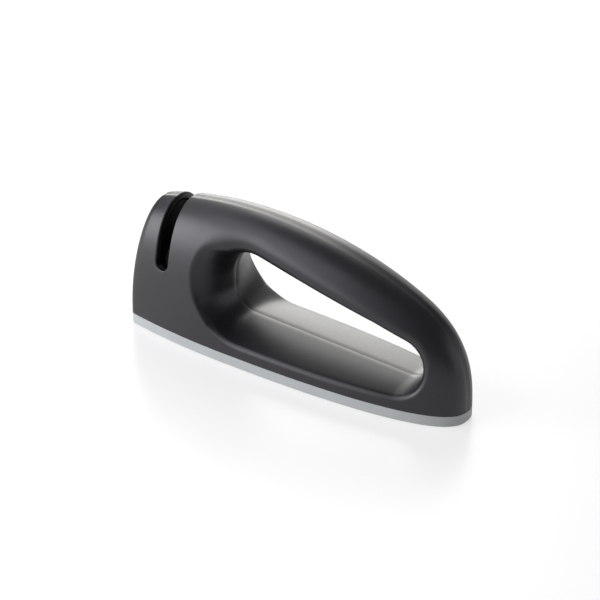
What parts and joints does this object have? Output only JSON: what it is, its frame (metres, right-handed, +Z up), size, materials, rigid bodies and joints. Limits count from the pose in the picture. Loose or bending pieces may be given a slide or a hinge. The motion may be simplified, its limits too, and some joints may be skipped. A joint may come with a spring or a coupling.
{
  "type": "knife sharpener",
  "caption": "Hand-held roll knife sharpener: D-shaped loop body of moulded half shells with a blade slot over a V of ceramic wheels, hand opening and grey non-slip sole.",
  "frame": {"origin": "centre of the sole's footprint, on the surface that the sharpener stands on", "axes": "+X from the head with the slot to the tail, +Y across to the right half shell, +Z up"},
  "size_m": [0.14, 0.038, 0.0564],
  "materials": {
    "body": "satin charcoal black, fine texture",
    "inner_plastic": "matte black",
    "sole": "matte light grey",
    "ceramic": "fine abrasive, unglazed",
    "washer": "natural",
    "steel": "bright"
  },
  "bodies": {
    "housing": {"left_shell": "body", "right_shell": "body", "bottom_plate": "inner_plastic", "sole": "sole", "roller_cradle": "inner_plastic", "axle": "steel", "front_guide": "inner_plastic", "rear_guide": "inner_plastic", "front_washer": "washer", "rear_washer": "washer", "front_clip": "steel", "rear_clip": "steel", "plate_screw_1": "steel", "plate_screw_2": "steel", "plate_screw_3": "steel", "plate_screw_4": "steel", "plate_screw_5": "steel", "plate_screw_6": "steel", "cradle_screw_1": "steel", "cradle_screw_2": "steel"},
    "front_wheel_body": {"front_wheel": "ceramic"},
    "rear_wheel_body": {"rear_wheel": "ceramic"}
  },
  "joints": [
    {"name": "front_wheel_spin", "type": "hinge", "parent": "housing", "child": "front_wheel_body", "pos_m": [-0.0533, 0, 0.0245], "axis": [1, 0, 0], "continuous": true},
    {"name": "rear_wheel_spin", "type": "hinge", "parent": "housing", "child": "rear_wheel_body", "pos_m": [-0.0533, 0, 0.0245], "axis": [1, 0, 0], "continuous": true}
  ]
}
